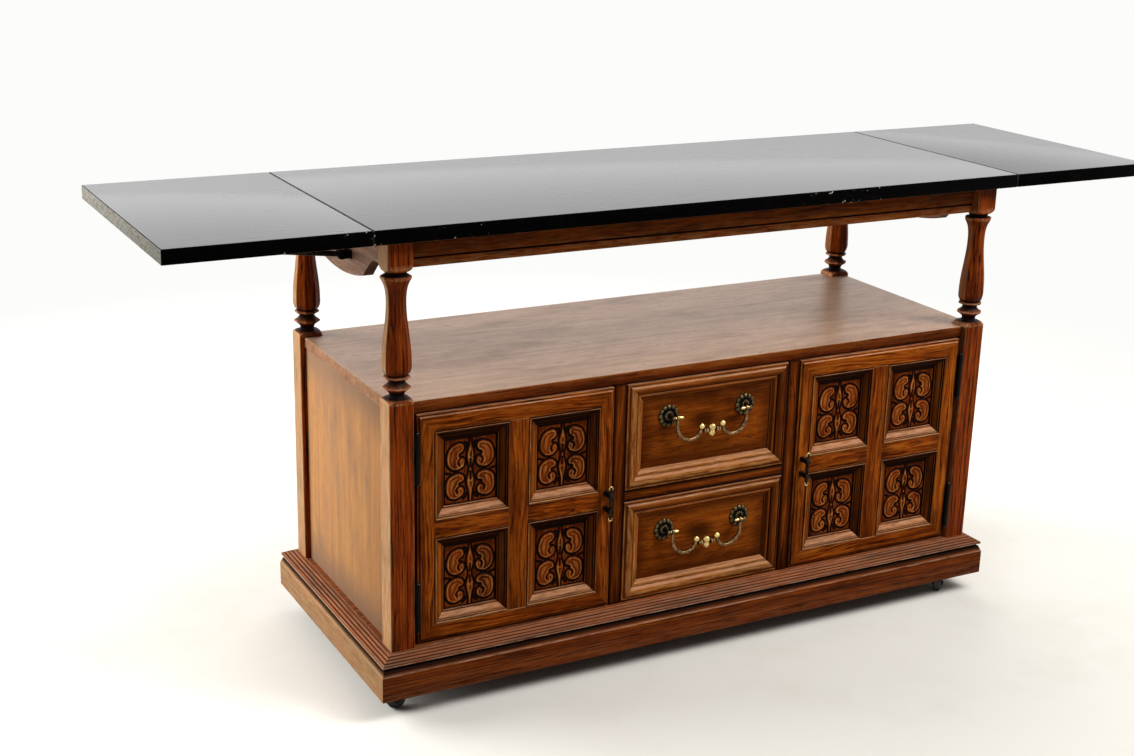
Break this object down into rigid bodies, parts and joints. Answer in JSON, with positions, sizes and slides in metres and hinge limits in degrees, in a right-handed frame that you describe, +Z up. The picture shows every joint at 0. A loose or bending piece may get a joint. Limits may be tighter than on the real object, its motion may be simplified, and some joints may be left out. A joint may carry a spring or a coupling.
{
  "type": "drop-leaf sideboard",
  "caption": "Long low cabinet on casters with carved doors and drawers, turned posts and a black laminate top with drop leaves.",
  "frame": {"origin": "on the floor under the middle of the piece", "axes": "+Z up, +X along the length to the right, front faces -Y"},
  "size_m": [1.843, 0.502, 0.8],
  "materials": {
    "oak": "medium-dark stained oak with open grain and worn edges",
    "light_oak": "honey-coloured oak veneer, satin",
    "base_oak": "dark brown stained oak, worn",
    "inner_wood": "unfinished secondary wood",
    "carved_wood": "carved, dark antiqued recesses",
    "black_laminate": "black satin laminate on a wooden core, chipped edges",
    "dark_iron": "dark antique finish",
    "antique_brass": "antique brass with dark recesses",
    "plated_steel": "zinc plated",
    "caster_black": "black"
  },
  "bodies": {
    "cabinet": {"plinth_boards": "base_oak", "plinth_blocks": "inner_wood", "base_panel": "base_oak", "base_moulding": "base_oak", "caster_plates": "plated_steel", "post_front_left": "oak", "post_front_right": "oak", "post_back_left": "oak", "post_back_right": "oak", "side_panels": "light_oak", "back_panel": "inner_wood", "partitions": "inner_wood", "cabinet_top": "oak", "front_stiles": "oak", "drawer_rail": "oak", "stop_rails": "inner_wood", "drawer_runners": "inner_wood", "inner_shelves": "inner_wood", "shelf_pins": "antique_brass", "door_catches": "plated_steel", "apron_rails": "oak", "end_aprons": "light_oak", "centre_top": "black_laminate", "top_hinge_halves": "dark_iron", "stay_brackets": "dark_iron", "post_hinge_halves": "dark_iron"},
    "leaf_left": {"leaf_left": "black_laminate", "leaf_left_hardware": "dark_iron"},
    "stay_left": {"stay_left": "dark_iron"},
    "door_left": {"door_left_frame": "oak", "door_left_mouldings": "oak", "door_left_tiles": "carved_wood", "door_left_handle": "dark_iron", "door_left_hinges": "dark_iron"},
    "leaf_right": {"leaf_right": "black_laminate", "leaf_right_hardware": "dark_iron"},
    "stay_right": {"stay_right": "dark_iron"},
    "door_right": {"door_right_frame": "oak", "door_right_mouldings": "oak", "door_right_tiles": "carved_wood", "door_right_handle": "dark_iron", "door_right_hinges": "dark_iron"},
    "drawer_upper": {"drawer_upper_front": "oak", "drawer_upper_box": "inner_wood", "drawer_upper_rosettes": "dark_iron"},
    "bail_upper": {"bail_upper": "antique_brass"},
    "drawer_lower": {"drawer_lower_front": "oak", "drawer_lower_box": "inner_wood", "drawer_lower_rosettes": "dark_iron"},
    "bail_lower": {"bail_lower": "antique_brass"},
    "caster_front_left": {"caster_fork_front_left": "plated_steel"},
    "wheel_front_left": {"caster_wheel_front_left": "caster_black"},
    "caster_front_right": {"caster_fork_front_right": "plated_steel"},
    "wheel_front_right": {"caster_wheel_front_right": "caster_black"},
    "caster_back_left": {"caster_fork_back_left": "plated_steel"},
    "wheel_back_left": {"caster_wheel_back_left": "caster_black"},
    "caster_back_right": {"caster_fork_back_right": "plated_steel"},
    "wheel_back_right": {"caster_wheel_back_right": "caster_black"}
  },
  "joints": [
    {"name": "leaf_left_hinge", "type": "hinge", "parent": "cabinet", "child": "leaf_left", "pos_m": [-0.61, 0, 0.7737], "axis": [0, -1, 0], "range_deg": [0, 90]},
    {"name": "stay_left_pivot", "type": "hinge", "parent": "cabinet", "child": "stay_left", "pos_m": [-0.588, -0.045, 0.72], "axis": [0, -1, 0], "range_deg": [0, 98.2]},
    {"name": "door_left_hinge", "type": "hinge", "parent": "cabinet", "child": "door_left", "pos_m": [-0.5345, -0.2239, 0.3], "axis": [0, 0, -1], "range_deg": [0, 105]},
    {"name": "leaf_right_hinge", "type": "hinge", "parent": "cabinet", "child": "leaf_right", "pos_m": [0.61, 0, 0.7737], "axis": [0, 1, 0], "range_deg": [0, 90]},
    {"name": "stay_right_pivot", "type": "hinge", "parent": "cabinet", "child": "stay_right", "pos_m": [0.588, -0.045, 0.72], "axis": [0, 1, 0], "range_deg": [0, 98.2]},
    {"name": "door_right_hinge", "type": "hinge", "parent": "cabinet", "child": "door_right", "pos_m": [0.5345, -0.2239, 0.3], "axis": [0, 0, 1], "range_deg": [0, 105]},
    {"name": "drawer_upper_slide", "type": "slide", "parent": "cabinet", "child": "drawer_upper", "axis": [0, -1, 0], "range_m": [0, 0.3]},
    {"name": "bail_upper_swing", "type": "hinge", "parent": "drawer_upper", "child": "bail_upper", "pos_m": [0, -0.229, 0.43369], "axis": [-1, 0, 0], "range_deg": [0, 95]},
    {"name": "drawer_lower_slide", "type": "slide", "parent": "cabinet", "child": "drawer_lower", "axis": [0, -1, 0], "range_m": [0, 0.3]},
    {"name": "bail_lower_swing", "type": "hinge", "parent": "drawer_lower", "child": "bail_lower", "pos_m": [0, -0.229, 0.22881], "axis": [-1, 0, 0], "range_deg": [0, 95]},
    {"name": "caster_front_left_swivel", "type": "hinge", "parent": "cabinet", "child": "caster_front_left", "pos_m": [-0.549, -0.204, 0.04], "axis": [0, 0, 1], "continuous": true},
    {"name": "wheel_front_left_spin", "type": "hinge", "parent": "caster_front_left", "child": "wheel_front_left", "pos_m": [-0.56698, -0.20494, 0.016], "axis": [0.0523, -0.9986, 0], "continuous": true},
    {"name": "caster_front_right_swivel", "type": "hinge", "parent": "cabinet", "child": "caster_front_right", "pos_m": [0.549, -0.204, 0.04], "axis": [0, 0, 1], "continuous": true},
    {"name": "wheel_front_right_spin", "type": "hinge", "parent": "caster_front_right", "child": "wheel_front_right", "pos_m": [0.53672, -0.21716, 0.016], "axis": [0.7314, -0.682, 0], "continuous": true},
    {"name": "caster_back_left_swivel", "type": "hinge", "parent": "cabinet", "child": "caster_back_left", "pos_m": [-0.549, 0.204, 0.04], "axis": [0, 0, 1], "continuous": true},
    {"name": "wheel_back_left_spin", "type": "hinge", "parent": "caster_back_left", "child": "wheel_back_left", "pos_m": [-0.56459, 0.195, 0.016], "axis": [0.5, -0.866, 0], "continuous": true},
    {"name": "caster_back_right_swivel", "type": "hinge", "parent": "cabinet", "child": "caster_back_right", "pos_m": [0.549, 0.204, 0.04], "axis": [0, 0, 1], "continuous": true},
    {"name": "wheel_back_right_spin", "type": "hinge", "parent": "caster_back_right", "child": "wheel_back_right", "pos_m": [0.54055, 0.18811, 0.016], "axis": [0.8829, -0.4695, 0], "continuous": true}
  ],
  "couplings": [
    {"joint": "stay_left_pivot", "follows": "leaf_left_hinge", "ratio": 1.0908},
    {"joint": "stay_right_pivot", "follows": "leaf_right_hinge", "ratio": 1.0908}
  ]
}
